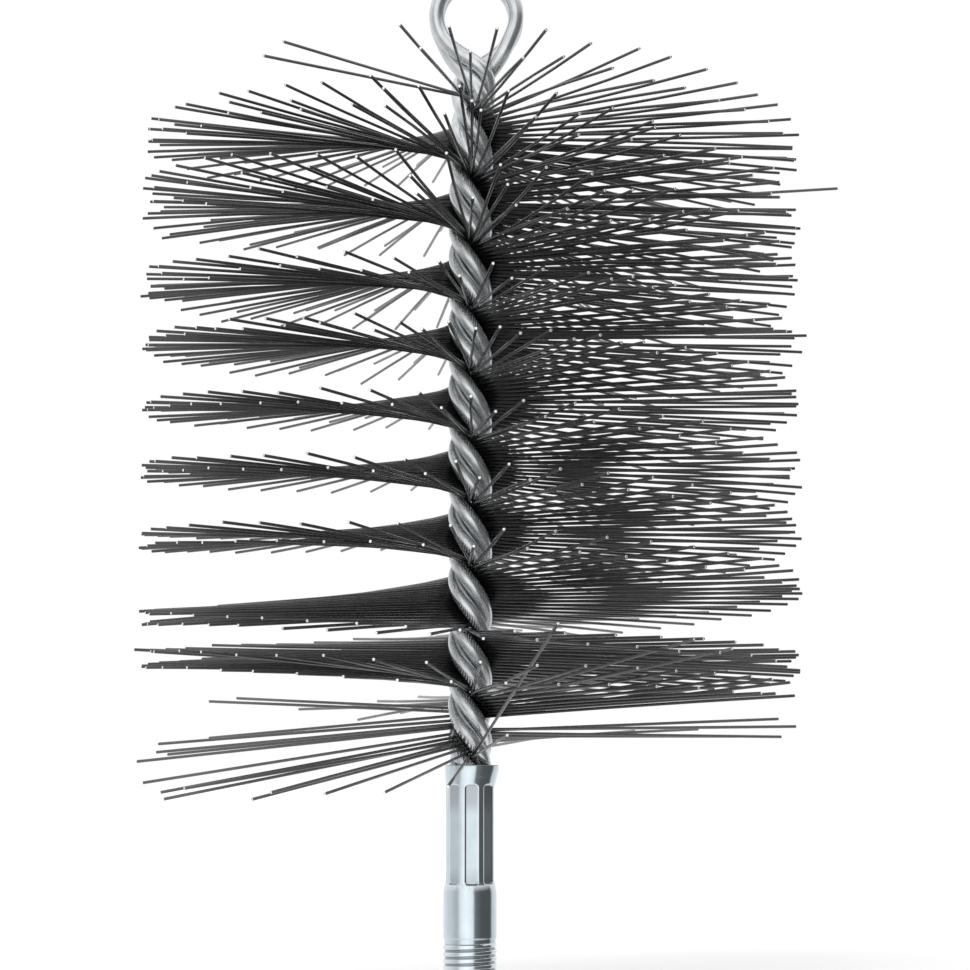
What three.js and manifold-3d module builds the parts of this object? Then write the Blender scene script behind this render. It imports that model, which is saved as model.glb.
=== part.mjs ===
// A twisted-wire chimney sweep brush, in millimetres.
// Frame: +Z runs up the stem from the centre of the ferrule's threaded end, which is the origin.
// -Y is the front and +X is the right-hand side seen from the front; the pull loop lies in the X-Z plane.
// Two wires, each folded double over the pull loop, are twisted together as four strands in two pairs.
// The bristles are gripped between the pairs, so they leave the stem as a two-armed screw.
import * as THREE from "three";
import { mergeVertices } from "three/addons/utils/BufferGeometryUtils.js";
import Module from "manifold-3d";

const wasm = await Module();
wasm.setup();

// Clearance between pieces that touch on the real brush, and how far a cutter runs past a face
const fitGap = 0.3;
const cutOverrun = 1;

// Stem wires
const wireDiameter = 4.4;
const wireSides = 8;
const wireStepLength = 3.6;
const tightTwistLength = 37; // one full left-handed turn at the ferrule
const looseTwistLength = 41.7; // one full turn at the pull loop
const stemLean = 0.9; // how far the stem leans to the right below the pull loop
const leanLength = 50;

// Bristles
const brushDiameter = 196;
const bristleThickness = 0.8;
const bristleLength = 195; // length of stem that carries bristles
const bristleSections = 4;
const strandSpacing = 0.87; // along the stem
const looseStrandStep = 2; // only every second bristle is left near the foot
const frontLooseLength = 13.3; // above the lowest bristle, on the side that starts out forwards
const rearLooseLength = 8.6;
// In degrees, at every quarter turn of the stem from the crossing of the legs down: how far the bristles are
// bent above level, and how far their upper and lower row stand from that middle. The front side is the one
// that has turned forwards after the first quarter, and the rear side is opposite.
const frontRiseAngles = [
  -3, -3, -3, 0, 1, -1.5, -2.5, -2, -1, -1.5, -0.5, -1, -0.5, -1, -0.5, -1, -3.5, -4, 0, 1, -5, -9,
];
const frontSplayAngles = [2, 2, 2, 2, 2, 3, 2, 1.5, 1, 0.5, 1, 1.5, 1, 1, 1.5, 1, 1, 0.5, 1.5, 1.5, 1, 1];
const rearRiseAngles = [
  2, 2, 0, -1, -4.5, -3, -2, -4, -2, -0.5, -1, -2, -2, -1, -1.5, 0, 1, 1.5, 0.5, 1, 5, 5,
];
const rearSplayAngles = [2, 2, 1.5, 2.5, 1, 1.5, 1.5, 1, 1, 1, 1, 1, 2, 1.5, 1.5, 1.5, 1, 1, 1.5, 1.5, 1, 1];

// Pull loop
const loopInnerRadius = 9.9;
const loopOffset = 1.8; // to the right of the stem's foot
const loopRise = 18.7; // loop's centre above the crossing of its legs
const crossingRise = 8.9; // crossing of the legs above the bristles
const upperLeg = { leaveDrop: 7.4, stemHandle: 16.3, loopHandle: 12, joinAngle: degrees(20) };
const lowerLeg = { leaveDrop: 12, stemHandle: 15.1, loopHandle: 17.9, joinAngle: degrees(21) };

// Ferrule
const ferruleSegments = 24;
const threadDiameter = 16;
const threadPitchLength = 2;
const threadLength = 14;
const threadDepthShare = 0.6134; // of the pitch, for a 60 degree thread
const threadCrestShare = 1 / 8;
const threadFootShare = 3 / 4;
const threadFadeShare = 1 / 2; // of a turn, at each end
const endChamfer = 1;
const bodyLength = 15;
const bodyWall = 1.75;
const crimpLength = 31.3;
const crimpedWall = 1.15;
const collarLength = 5.7;
const rimFlareDepth = 0.65; // of the bore, at the rim
const rimWall = 1.35;
const rimEdge = 0.4;
const shoulderLength = 0.8;
const boreFloorDrop = 4; // below the crimps
const footClearance = 5; // between the ferrule's rim and the lowest bristle
const crimpCount = 8;
const crimpTurnAngle = degrees(4);
const pocketWidth = 4.15;
const pocketLength = 29.5;
const pocketDepth = 0.5;
const pocketCornerRadius = 1.1;
const pocketCornerSegments = 3;

// Heights that follow from the sizes above
const crimpFoot = threadLength + bodyLength;
const crimpTop = crimpFoot + crimpLength;
const rimHeight = crimpTop + collarLength;
const bristleFoot = rimHeight + footClearance;
const bristleTop = bristleFoot + bristleLength;
const crossingHeight = bristleTop + crossingRise;
const loopHeight = crossingHeight + loopRise;
const boreFloor = crimpFoot - boreFloorDrop;
const wireFoot = boreFloor + wireDiameter / 2 + fitGap;

const zincSteel = { color: 0xb9c2c8, metalness: 0.9, roughness: 0.35 };
const brightWire = { color: 0xaeb3b7, metalness: 0.9, roughness: 0.4 };
const springSteel = { color: 0x303134, metalness: 0.6, roughness: 0.45 };

function degrees(angle) {
  return (angle * Math.PI) / 180;
}

// Twist

// Turns of the stem between a height and the crossing of the loop's legs. The rate of turn falls evenly
// from the ferrule to the crossing.
function turnsBelowCrossing(height) {
  const drop = crossingHeight - height;
  const extraRate = 1 / tightTwistLength - 1 / looseTwistLength;
  return drop / looseTwistLength + (extraRate * drop * drop) / (2 * (crossingHeight - rimHeight));
}

function twistAngle(height) {
  return 2 * Math.PI * turnsBelowCrossing(height);
}

function turnRate(height) {
  const extraRate = 1 / tightTwistLength - 1 / looseTwistLength;
  const drop = crossingHeight - height;
  return 2 * Math.PI * (1 / looseTwistLength + (extraRate * drop) / (crossingHeight - rimHeight));
}

function axisOffset(height) {
  return stemLean * THREE.MathUtils.smoothstep(height, crossingHeight - leanLength, crossingHeight);
}

// Strand layout, found from the wire's diameter and the clearances

const layoutSamples = 400;
const layoutRounds = 40;

function leastOver(low, high, distance) {
  let least = Infinity;
  for (let i = 0; i <= layoutSamples; i++) {
    least = Math.min(least, distance(low + ((high - low) * i) / layoutSamples));
  }
  return least;
}

// Least distance between two strands of one orbit that stand a given angle apart.
function strandDistance(orbit, angle) {
  const risePerRadian = tightTwistLength / (2 * Math.PI);
  return leastOver(-Math.PI, Math.PI, (turn) => {
    const chordSquared = 2 * orbit * orbit * (1 - Math.cos(angle - turn));
    return Math.sqrt(chordSquared + (risePerRadian * turn) ** 2);
  });
}

// Least distance between a strand, at an angle from the bristles, and the screw surface that they lie in.
function sliceDistance(orbit, angle) {
  const risePerRadian = tightTwistLength / (2 * Math.PI);
  return leastOver(-Math.PI / 2, Math.PI / 2, (turn) => {
    const across = orbit * Math.sin(angle - turn);
    return Math.hypot(across, risePerRadian * turn);
  });
}

// The value between two limits at which a growing measure reaches its aim.
function solveGrowing(low, high, measure, aim) {
  let [from, to] = [low, high];
  for (let i = 0; i < layoutRounds; i++) {
    const middle = (from + to) / 2;
    if (measure(middle) < aim) {
      from = middle;
    } else {
      to = middle;
    }
  }
  return to;
}

const strandReach = wireDiameter + fitGap;
const sliceReach = (wireDiameter + bristleThickness) / 2 + fitGap;

function pairAngle(orbit) {
  return solveGrowing(0, Math.PI, (angle) => strandDistance(orbit, angle), strandReach);
}

function bristleAngle(orbit) {
  return (Math.PI - pairAngle(orbit)) / 2;
}

const stemOrbit = solveGrowing(
  wireDiameter / 2,
  2 * wireDiameter,
  (orbit) => sliceDistance(orbit, bristleAngle(orbit)),
  sliceReach,
);
const stemPairAngle = pairAngle(stemOrbit);
const gripPairAngle = Math.PI / 2;
const gripOrbit = solveGrowing(
  wireDiameter / 2,
  2 * wireDiameter,
  (orbit) => strandDistance(orbit, gripPairAngle),
  strandReach,
);

// The strands close up below the bristles, inside the ferrule.
function openShare(height) {
  return THREE.MathUtils.smoothstep(height, crimpTop, bristleFoot);
}

const stemRadius = stemOrbit + wireDiameter / 2;
const boreRadius = gripOrbit + wireDiameter / 2 + fitGap;

// Geometry helpers

// A closed indexed mesh as a solid for cutting and joining.
function solidOf(geometry) {
  const bare = new THREE.BufferGeometry();
  bare.setAttribute("position", geometry.getAttribute("position"));
  bare.setIndex(geometry.getIndex());
  const merged = mergeVertices(bare);
  const vertProperties = merged.getAttribute("position").array;
  const triVerts = new Uint32Array(merged.getIndex().array);
  return new wasm.Manifold(new wasm.Mesh({ numProp: 3, vertProperties, triVerts }));
}

function geometryOf(solid) {
  const mesh = solid.getMesh();
  const geometry = new THREE.BufferGeometry();
  geometry.setAttribute("position", new THREE.BufferAttribute(mesh.vertProperties, 3));
  geometry.setIndex(new THREE.BufferAttribute(mesh.triVerts, 1));
  return geometry;
}

function namedMesh(name, geometry, look) {
  geometry.computeVertexNormals();
  const mesh = new THREE.Mesh(geometry, new THREE.MeshStandardMaterial(look));
  mesh.name = name;
  return mesh;
}

// A growing list of points and triangles.
function newSurface() {
  return { positions: [], indices: [] };
}

function addPoint(surface, point) {
  surface.positions.push(point.x, point.y, point.z);
  return surface.positions.length / 3 - 1;
}

function pointRound(radius, angle, height) {
  return new THREE.Vector3(radius * Math.cos(angle), radius * Math.sin(angle), height);
}

function addQuad(surface, a, b, c, d) {
  surface.indices.push(a, b, c, a, c, d);
}

function surfaceGeometry(surface) {
  const geometry = new THREE.BufferGeometry();
  geometry.setAttribute("position", new THREE.Float32BufferAttribute(surface.positions, 3));
  geometry.setIndex(surface.indices);
  return geometry;
}

// Stem wires

// One strand, from its foot in the ferrule to the height where it leaves the twist for the loop. At the
// crossing its pair stands at pairDirection, and placeInPair says on which side of it the strand lies.
class StrandCurve extends THREE.Curve {
  constructor(pairDirection, placeInPair, high) {
    super();
    this.pairDirection = pairDirection;
    this.placeInPair = placeInPair;
    this.high = high;
  }

  getPoint(share, target = new THREE.Vector3()) {
    const height = THREE.MathUtils.lerp(wireFoot, this.high, share);
    const open = openShare(height);
    const orbit = THREE.MathUtils.lerp(gripOrbit, stemOrbit, open);
    const spread = THREE.MathUtils.lerp(gripPairAngle, stemPairAngle, open);
    const angle = this.pairDirection + (this.placeInPair * spread) / 2 + twistAngle(height);
    return target.set(axisOffset(height) + orbit * Math.cos(angle), orbit * Math.sin(angle), height);
  }
}

// The round part of the pull loop, from its left-hand join over the top to its right-hand join.
class LoopCurve extends THREE.Curve {
  constructor(depth, leftAngle, rightAngle) {
    super();
    this.depth = depth;
    this.leftAngle = leftAngle;
    this.rightAngle = rightAngle;
  }

  getPoint(share, target = new THREE.Vector3()) {
    const angle = THREE.MathUtils.lerp(this.leftAngle, this.rightAngle, share);
    const radius = loopInnerRadius + wireDiameter / 2;
    const across = loopOffset + radius * Math.cos(angle);
    return target.set(across, this.depth, loopHeight + radius * Math.sin(angle));
  }
}

// The bend between a strand's upper end and the loop, both given as a point and an upward direction.
function legCurve(leg, strand, loopPoint, loopDirection) {
  const start = strand.getPoint(1);
  const startHandle = strand.getTangent(1).multiplyScalar(leg.stemHandle).add(start);
  const endHandle = loopDirection.clone().multiplyScalar(-leg.loopHandle).add(loopPoint);
  return new THREE.CubicBezierCurve3(start, startHandle, endHandle, loopPoint);
}

class ReversedCurve extends THREE.Curve {
  constructor(curve) {
    super();
    this.curve = curve;
  }

  getPoint(share, target = new THREE.Vector3()) {
    return this.curve.getPoint(1 - share, target);
  }
}

// The centre line of a folded wire: up its left strand, round the loop and down its right strand.
// depthSide is -1 for the front wire and 1 for the rear one.
function foldedWirePath(depthSide) {
  const depth = (depthSide * strandReach) / 2;
  const leftLeg = depthSide < 0 ? upperLeg : lowerLeg;
  const rightLeg = depthSide < 0 ? lowerLeg : upperLeg;
  const leftStrand = new StrandCurve(-Math.PI / 2, -depthSide, crossingHeight - leftLeg.leaveDrop);
  const rightStrand = new StrandCurve(Math.PI / 2, depthSide, crossingHeight - rightLeg.leaveDrop);
  const loop = new LoopCurve(depth, Math.PI + leftLeg.joinAngle, -rightLeg.joinAngle);
  const leftDirection = loop.getTangent(0);
  const rightDirection = loop.getTangent(1).negate();
  const path = new THREE.CurvePath();
  path.add(leftStrand);
  path.add(legCurve(leftLeg, leftStrand, loop.getPoint(0), leftDirection));
  path.add(loop);
  path.add(new ReversedCurve(legCurve(rightLeg, rightStrand, loop.getPoint(1), rightDirection)));
  path.add(new ReversedCurve(rightStrand));
  return path;
}

function wireSection() {
  const corners = [];
  for (let i = 0; i < wireSides; i++) {
    const angle = (2 * Math.PI * i) / wireSides;
    corners.push(new THREE.Vector2(Math.cos(angle), Math.sin(angle)).multiplyScalar(wireDiameter / 2));
  }
  return new THREE.Shape(corners);
}

function stemWire(name, depthSide) {
  const path = foldedWirePath(depthSide);
  const steps = Math.ceil(path.getLength() / wireStepLength);
  path.arcLengthDivisions = 4 * steps;
  const geometry = new THREE.ExtrudeGeometry(wireSection(), { steps, extrudePath: path });
  return namedMesh(name, geometry, brightWire);
}

// Bristles

// The four corners of the gripped slice at one height: both faces at the left edge and at the right edge.
function sliceCorners(surface, height) {
  const angle = twistAngle(height);
  const rate = turnRate(height);
  const corners = [];
  for (const side of [-1, 1]) {
    const reach = side * stemRadius;
    const normal = new THREE.Vector3(Math.sin(angle), -Math.cos(angle), -reach * rate).normalize();
    const edge = pointRound(reach, angle, height);
    edge.x += axisOffset(height);
    for (const face of [side, -side]) {
      corners.push(addPoint(surface, edge.clone().addScaledVector(normal, (face * bristleThickness) / 2)));
    }
  }
  return corners;
}

// How far a bristle end points above level, from its place along the stem, its row and its side.
function bristleRise(height, row, side) {
  const rises = side < 0 ? frontRiseAngles : rearRiseAngles;
  const splays = side < 0 ? frontSplayAngles : rearSplayAngles;
  const quarters = twistAngle(height) / (Math.PI / 2);
  const above = Math.min(Math.floor(quarters), rises.length - 2);
  const rise = THREE.MathUtils.lerp(rises[above], rises[above + 1], quarters - above);
  const splay = THREE.MathUtils.lerp(splays[above], splays[above + 1], quarters - above);
  return degrees(rise + row * splay);
}

// The row of a side's bristle, 1 for the upper and -1 for the lower one, or 0 where it is left out.
function strandRow(order, height, side) {
  const looseLength = side < 0 ? frontLooseLength : rearLooseLength;
  const place = height < bristleFoot + looseLength ? order / looseStrandStep : order;
  if (!Number.isInteger(place)) {
    return 0;
  }
  return place % 2 === 0 ? 1 : -1;
}

// A four-sided bristle end that grows out of the slice's edge between two heights' corners.
function addStrand(surface, root, height, row, side) {
  const angle = twistAngle(height);
  const rise = bristleRise(height, row, side);
  const reach = brushDiameter / 2 - stemRadius;
  const shift = new THREE.Vector3(
    side * Math.cos(angle) * Math.cos(rise),
    side * Math.sin(angle) * Math.cos(rise),
    Math.sin(rise),
  ).multiplyScalar(reach);
  const tip = root.map((index) =>
    addPoint(surface, new THREE.Vector3().fromArray(surface.positions, 3 * index).add(shift)),
  );
  for (let i = 0; i < root.length; i++) {
    const next = (i + 1) % root.length;
    addQuad(surface, root[i], root[next], tip[next], tip[i]);
  }
  addQuad(surface, ...tip);
}

// One stretch of the bristle pack: a twisted slice that fills the gap between the strand pairs, with
// bristle ends growing out of both of its edges.
function bristleGeometry(low, high) {
  const count = Math.floor((high - low) / strandSpacing);
  const spacing = (high - low) / count;
  const surface = newSurface();
  const bands = [{ low: sliceCorners(surface, low) }];
  for (let i = 0; i < count; i++) {
    const height = low + (i + 1 / 2) * spacing;
    const halfRoot = bristleThickness / 2 / Math.hypot(1, stemRadius * turnRate(height));
    const foot = sliceCorners(surface, height - halfRoot);
    const head = sliceCorners(surface, height + halfRoot);
    bands.at(-1).high = foot;
    bands.push({ low: foot, high: head, height, rows: [strandRow(i, height, -1), strandRow(i, height, 1)] });
    bands.push({ low: head });
  }
  bands.at(-1).high = sliceCorners(surface, high);
  for (const band of bands) {
    for (let i = 0; i < 4; i++) {
      const next = (i + 1) % 4;
      const corners = [band.low[i], band.low[next], band.high[next], band.high[i]];
      const row = i % 2 === 0 ? band.rows?.[i / 2] : 0;
      if (row) {
        addStrand(surface, corners, band.height, row, i === 0 ? -1 : 1);
      } else {
        addQuad(surface, ...corners);
      }
    }
  }
  addQuad(surface, ...bands[0].low.toReversed());
  addQuad(surface, ...bands.at(-1).high);
  return surfaceGeometry(surface);
}

function bristles(name, section) {
  const stretch = bristleLength / bristleSections;
  const low = bristleFoot + section * stretch + fitGap / 2;
  const geometry = bristleGeometry(low, low + stretch - fitGap);
  return namedMesh(name, geometry, springSteel);
}

// Ferrule

const threadDepth = threadDepthShare * threadPitchLength;
const threadRootRadius = threadDiameter / 2 - threadDepth;
const bodyRadius = boreRadius + bodyWall;
const landRadius = boreRadius + crimpedWall;
const rimBoreRadius = boreRadius + rimFlareDepth;
const rimRadius = rimBoreRadius + rimWall;

function ferruleBlank() {
  const outline = [
    [0, 0],
    [threadRootRadius - endChamfer, 0],
    [threadRootRadius, endChamfer],
    [threadRootRadius, threadLength],
    [bodyRadius, threadLength + shoulderLength],
    [bodyRadius, crimpFoot],
    [landRadius, crimpFoot + shoulderLength],
    [landRadius, crimpTop],
    [rimRadius, rimHeight - rimEdge],
    [rimRadius, rimHeight],
    [rimBoreRadius, rimHeight],
    [boreRadius, crimpTop],
    [boreRadius, boreFloor],
    [0, boreFloor],
  ].map(([radius, height]) => new THREE.Vector2(radius, height));
  return new THREE.LatheGeometry(outline, ferruleSegments).rotateX(Math.PI / 2);
}

// The thread's ridge, right-handed, sunk a little into the blank. It fades in and out over part of a turn.
function threadRidge() {
  const foot = (threadFootShare * threadPitchLength) / 2;
  const crest = (threadCrestShare * threadPitchLength) / 2;
  const low = endChamfer + foot;
  const turns = (threadLength - low - foot) / threadPitchLength;
  const steps = Math.round(turns * ferruleSegments);
  const fadeSteps = threadFadeShare * ferruleSegments;
  const surface = newSurface();
  const rings = [];
  for (let i = 0; i <= steps; i++) {
    const angle = (2 * Math.PI * i) / ferruleSegments;
    const height = low + (threadPitchLength * i) / ferruleSegments;
    const rise = Math.min(1, i / fadeSteps, (steps - i) / fadeSteps);
    const sunk = threadRootRadius - threadDepth / 2;
    const ring = [
      [sunk, height - foot],
      [threadRootRadius + rise * threadDepth, height - crest],
      [threadRootRadius + rise * threadDepth, height + crest],
      [sunk, height + foot],
    ].map(([radius, z]) => addPoint(surface, pointRound(radius, angle, z)));
    rings.push(ring);
  }
  for (let i = 0; i < steps; i++) {
    for (let side = 0; side < 4; side++) {
      const next = (side + 1) % 4;
      addQuad(surface, rings[i][side], rings[i + 1][side], rings[i + 1][next], rings[i][next]);
    }
  }
  addQuad(surface, ...rings[0]);
  addQuad(surface, ...rings.at(-1).toReversed());
  return surfaceGeometry(surface);
}

// A rounded rectangle that the crimping tool presses in, standing radially at one azimuth.
function pocketCutter(azimuth) {
  const halfWidth = pocketWidth / 2;
  const halfLength = pocketLength / 2;
  const corner = pocketCornerRadius;
  const shape = new THREE.Shape();
  shape.absarc(halfLength - corner, halfWidth - corner, corner, 0, Math.PI / 2);
  shape.absarc(corner - halfLength, halfWidth - corner, corner, Math.PI / 2, Math.PI);
  shape.absarc(corner - halfLength, corner - halfWidth, corner, Math.PI, (3 * Math.PI) / 2);
  shape.absarc(halfLength - corner, corner - halfWidth, corner, (3 * Math.PI) / 2, 2 * Math.PI);
  const depth = pocketDepth + cutOverrun;
  const geometry = new THREE.ExtrudeGeometry(shape, {
    depth,
    bevelEnabled: false,
    curveSegments: pocketCornerSegments,
  });
  geometry.translate(0, 0, landRadius - pocketDepth);
  geometry.rotateY(Math.PI / 2);
  geometry.translate(0, 0, crimpTop - halfLength);
  geometry.rotateZ(azimuth);
  return geometry;
}

function ferrule() {
  let solid = solidOf(ferruleBlank()).add(solidOf(threadRidge()));
  for (let i = 0; i < crimpCount; i++) {
    const azimuth = crimpTurnAngle - Math.PI / 2 + (2 * Math.PI * i) / crimpCount;
    solid = solid.subtract(solidOf(pocketCutter(azimuth)));
  }
  return namedMesh("ferrule", geometryOf(solid), zincSteel);
}

const brush = new THREE.Group();
brush.add(ferrule());
brush.add(stemWire("stem_wire_front", -1));
brush.add(stemWire("stem_wire_rear", 1));
brush.add(bristles("bristles_bottom", 0));
brush.add(bristles("bristles_lower", 1));
brush.add(bristles("bristles_upper", 2));
brush.add(bristles("bristles_top", 3));

export default brush;
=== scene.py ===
"""A twisted-wire chimney sweep brush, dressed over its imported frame. Lengths are in metres.

+Z runs up the stem from the centre of the threaded end, -Y is the front and +X the right-hand side.
"""

import math
import random

import bmesh
import bpy
from mathutils import Matrix, Vector


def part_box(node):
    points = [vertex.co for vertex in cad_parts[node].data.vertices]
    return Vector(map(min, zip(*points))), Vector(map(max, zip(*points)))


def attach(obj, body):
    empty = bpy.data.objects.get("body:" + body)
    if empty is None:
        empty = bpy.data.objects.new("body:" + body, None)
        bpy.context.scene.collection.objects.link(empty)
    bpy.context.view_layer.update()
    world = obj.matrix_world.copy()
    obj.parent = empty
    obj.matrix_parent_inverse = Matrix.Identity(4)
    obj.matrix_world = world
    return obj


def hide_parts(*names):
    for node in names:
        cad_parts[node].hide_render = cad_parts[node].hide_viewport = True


bl_info = {
    "name": "Chimney Sweep Brush",
    "version": (1, 0, 0),
    "blender": (4, 5, 0),
    "location": "View3D > Sidebar > Brush",
    "description": "Builds a twisted-wire chimney sweep brush and a plain stage for it",
    "category": "Add Mesh",
}

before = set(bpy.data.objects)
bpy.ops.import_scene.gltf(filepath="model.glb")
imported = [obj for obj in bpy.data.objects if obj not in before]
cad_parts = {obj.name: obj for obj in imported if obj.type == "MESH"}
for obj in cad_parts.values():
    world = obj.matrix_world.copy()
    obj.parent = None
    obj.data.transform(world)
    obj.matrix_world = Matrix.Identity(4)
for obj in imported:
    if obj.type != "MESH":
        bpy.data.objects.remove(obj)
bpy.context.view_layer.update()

MM = 0.001
TURN = 2 * math.pi

# Heights of the frame, up the stem
THREAD_TOP = 14.8 * MM
CRIMP_FOOT = 29 * MM
CRIMP_TOP = 60.3 * MM
RIM_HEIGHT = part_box("ferrule")[1].z
SLOT_FOOT = 67.5 * MM
BRISTLE_FOOT = 71 * MM
MIDDLE_ROW_FOOT = 213 * MM
MIDDLE_ROW_TOP = 254 * MM
BRISTLE_TOP = 266 * MM
CROSSING_HEIGHT = 274.9 * MM
LOOP_HEIGHT = 293.6 * MM
BORE_FLOOR = 25 * MM
WIRE_FOOT = 27.5 * MM

# Twist of the stem
TIGHT_TWIST = 37 * MM
LOOSE_TWIST = 41.7 * MM
EXTRA_RATE = 1 / TIGHT_TWIST - 1 / LOOSE_TWIST
STEM_LEAN = 0.9 * MM
LEAN_LENGTH = 50 * MM
STEM_ORBIT = 4.2745 * MM
STEM_PAIR_ANGLE = math.radians(79.81)
GRIP_ORBIT = 3.6855 * MM
GRIP_PAIR_ANGLE = math.radians(90)

# Spacing of a wire's rings, as a share of the step length in the twist and of a leg's span
TWIST_STEP_SHARE = 0.82
LEG_SPAN_SHARE = 1.1

# Pull loop
LOOP_RADIUS = 12.1 * MM
LOOP_OFFSET = 1.8 * MM
LOOP_DEPTH = 2.35 * MM
UPPER_LEG = {"drop": 7.4 * MM, "stem": 16.3 * MM, "loop": 12 * MM, "join": math.radians(20)}
LOWER_LEG = {"drop": 12 * MM, "stem": 15.1 * MM, "loop": 17.9 * MM, "join": math.radians(21)}

# Ferrule radii
BODY_RADIUS = 7.94 * MM
LAND_RADIUS = 7.34 * MM
RIM_RADIUS = 8.05 * MM
BORE_RADIUS = 6.19 * MM
RIM_BORE_RADIUS = 6.84 * MM
THREAD_RADIUS = 8 * MM
THREAD_BLANK_RADIUS = 7.65 * MM
THREAD_DEPTH = 0.5 * MM

# Ferrule details: the crimping tool's jaws, the shoulders and the eased edges
JAWS = 8
SHOULDER = 0.75 * MM
EDGE = 0.4 * MM
ROUNDING = 0.25 * MM
MOUTH_ROUNDING = 0.5 * MM
CRIMP_EASE = 0.8 * MM
LAND_EASE = 2 * MM
BEND_LENGTH = 2 * MM
COLLAR_FLARE = (-0.15, 0.9)
LIP_SLOPE = 0.05 * MM
OUTSIDE_OF_BORE = BORE_RADIUS + 0.1 * MM
OUTSIDE_OF_MOUTH = RIM_BORE_RADIUS + 0.2 * MM

# Spacing of its rows of faces, fine at the ends of the pockets
FINE_ROW = 0.1 * MM
COLLAR_ROW = 0.4 * MM
COARSE_ROW = 4 * MM

# Where it is painted darker: depths below the crimp's top, heights above the pockets' foot, depths
# below the rim, and how much. Near the crimp's top and on the lip this is a painted reflection of
# the dark bristles; towards the pockets' foot it is darker.
UPPER_POCKET_DARKENING = (9 * MM, 4 * MM)
LOWER_POCKET_DARKENING = 3 * MM
LOWER_POCKET_DARKENING_SHARE = 0.7
LIP_DARKENING_DEPTHS = (0.45 * MM, 0.1 * MM)
LIP_DARKENING = 0.9

# Thread: its valley is (share of the pitch, share of the depth), and its end fades in shares of
# the pitch below its top
THREAD_VALLEY = ((0, 1), (0.08, 0.96), (0.14, 0.75), (0.2, 0.35), (0.25, 0.08), (0.3, 0), (0.7, 0))
THREAD_FADE = (0.75, 0.35)
CHAMFER_DEPTH = 1.2 * MM
CHAMFER_SLOPE = 1.15

# Where vertices count as one, and where thread and body overlap
MERGE = 0.002 * MM
SEAM = 0.01 * MM

# Outer corners that are rubbed bright: the least bend, and the bend of a fully bright one
LEAST_CORNER = math.radians(12)
FULL_CORNER = math.radians(50)
SHARP_EDGE = math.radians(35)

# Bristles: rings and dome are shares of a bristle's length, the dome's rim is one of its radius
GRIP_DEPTH = 2 * MM
ROW_STAGGER = 0.25
ROOT_SPLAY_SHARE = 0.45
BRISTLE_RINGS = (0.12, 0.4, 0.7, 1)
DOME_RIM = 0.3
DOME_HEIGHT = 0.0012
LEAST_BOW = 0.1 * MM
MOST_BOW = 0.7 * MM
DISORDER_FROM = BRISTLE_FOOT + (BRISTLE_TOP - BRISTLE_FOOT) * 0.4
DISORDER_TO = BRISTLE_FOOT + (BRISTLE_TOP - BRISTLE_FOOT) * 0.85
CALMER_FROM = BRISTLE_TOP - 18 * MM
CALMER_TO = BRISTLE_TOP - 9 * MM
# Painted sheen: bristles near the top and the single bristles get a paler skin that stands in for
# the bright surroundings they mirror
SHEEN_TONE = 2
SHEEN_FROM = BRISTLE_TOP - 12 * MM
SHEEN_TO = BRISTLE_TOP - 3 * MM
SLOT_END_REACH = 5.2 * MM
SLOT_END_SPACING = 0.8 * MM

# Materials: ranges are for bright to dull, and for a bristle's metal for skin to cut end
WIRE_METAL = 0.85
WIRE_ROUGHNESS = (0.13, 0.23)
BRISTLE_METAL = (0.15, 0.9)
BRISTLE_IOR = 1.65
BRISTLE_ROUGHNESS = (0.2, 0.28)
BRISTLE_PATCHES = (0.1, 0.5)
# The skin is painted lighter towards the bristles' ends, painted light that stands in for the shade
# of the dense pack near the stem; it is smoother where lighter
END_LIGHT_FROM = 0.45
END_LIGHT_MOST = 0.5
LIGHTENED_SMOOTHER = -0.06
ZINC_ROUGHNESS = (0.06, 0.16)
# How much the pockets are painted darker
POCKET_DARKENING_COVER = 0.6
# How much the thread valleys (painted shade) and the lip (painted reflection of the bristles) are
# painted darker
DARKENING_FROM = 0.2
DARKENING_COVER = 0.7

# In degrees, at every quarter turn from the crossing of the legs down: how far the bristles are
# bent above level, and how far their two rows stand from that middle. Side -1 has turned forwards
# after the first quarter, and side 1 backwards.
RISES = {
    -1: (
        -3, -3, -3, 0, 1, -1.5, -2.5, -2, -1.5, -1.5, -0.5,
        -1, -0.5, -1, -0.5, -1, -3.5, -4, -1, 1, -5, -9,
    ),
    1: (
        2, 2, 0, -1, -4.5, -3, -2, -4, -2, -0.5, -1,
        -2, -2, -1, -1.5, 0, 1, 1.5, 0.5, 1, 5, 5,
    ),
}
SPLAYS = {
    -1: (2, 2, 2, 2, 3, 3, 2, 1.5, 0.6, 0.5, 1, 1.5, 1, 1, 1.5, 1, 1, 0.5, 1.5, 1.5, 1, 1),
    1: (2, 2, 1.3, 2.5, 1, 1.5, 1.5, 1, 1, 1, 0.7, 1, 2, 1.5, 1.2, 1.5, 1, 1, 1.2, 1.5, 1, 1),
}
DENSE_FROM = {-1: 84.3 * MM, 1: 79.6 * MM}

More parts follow.
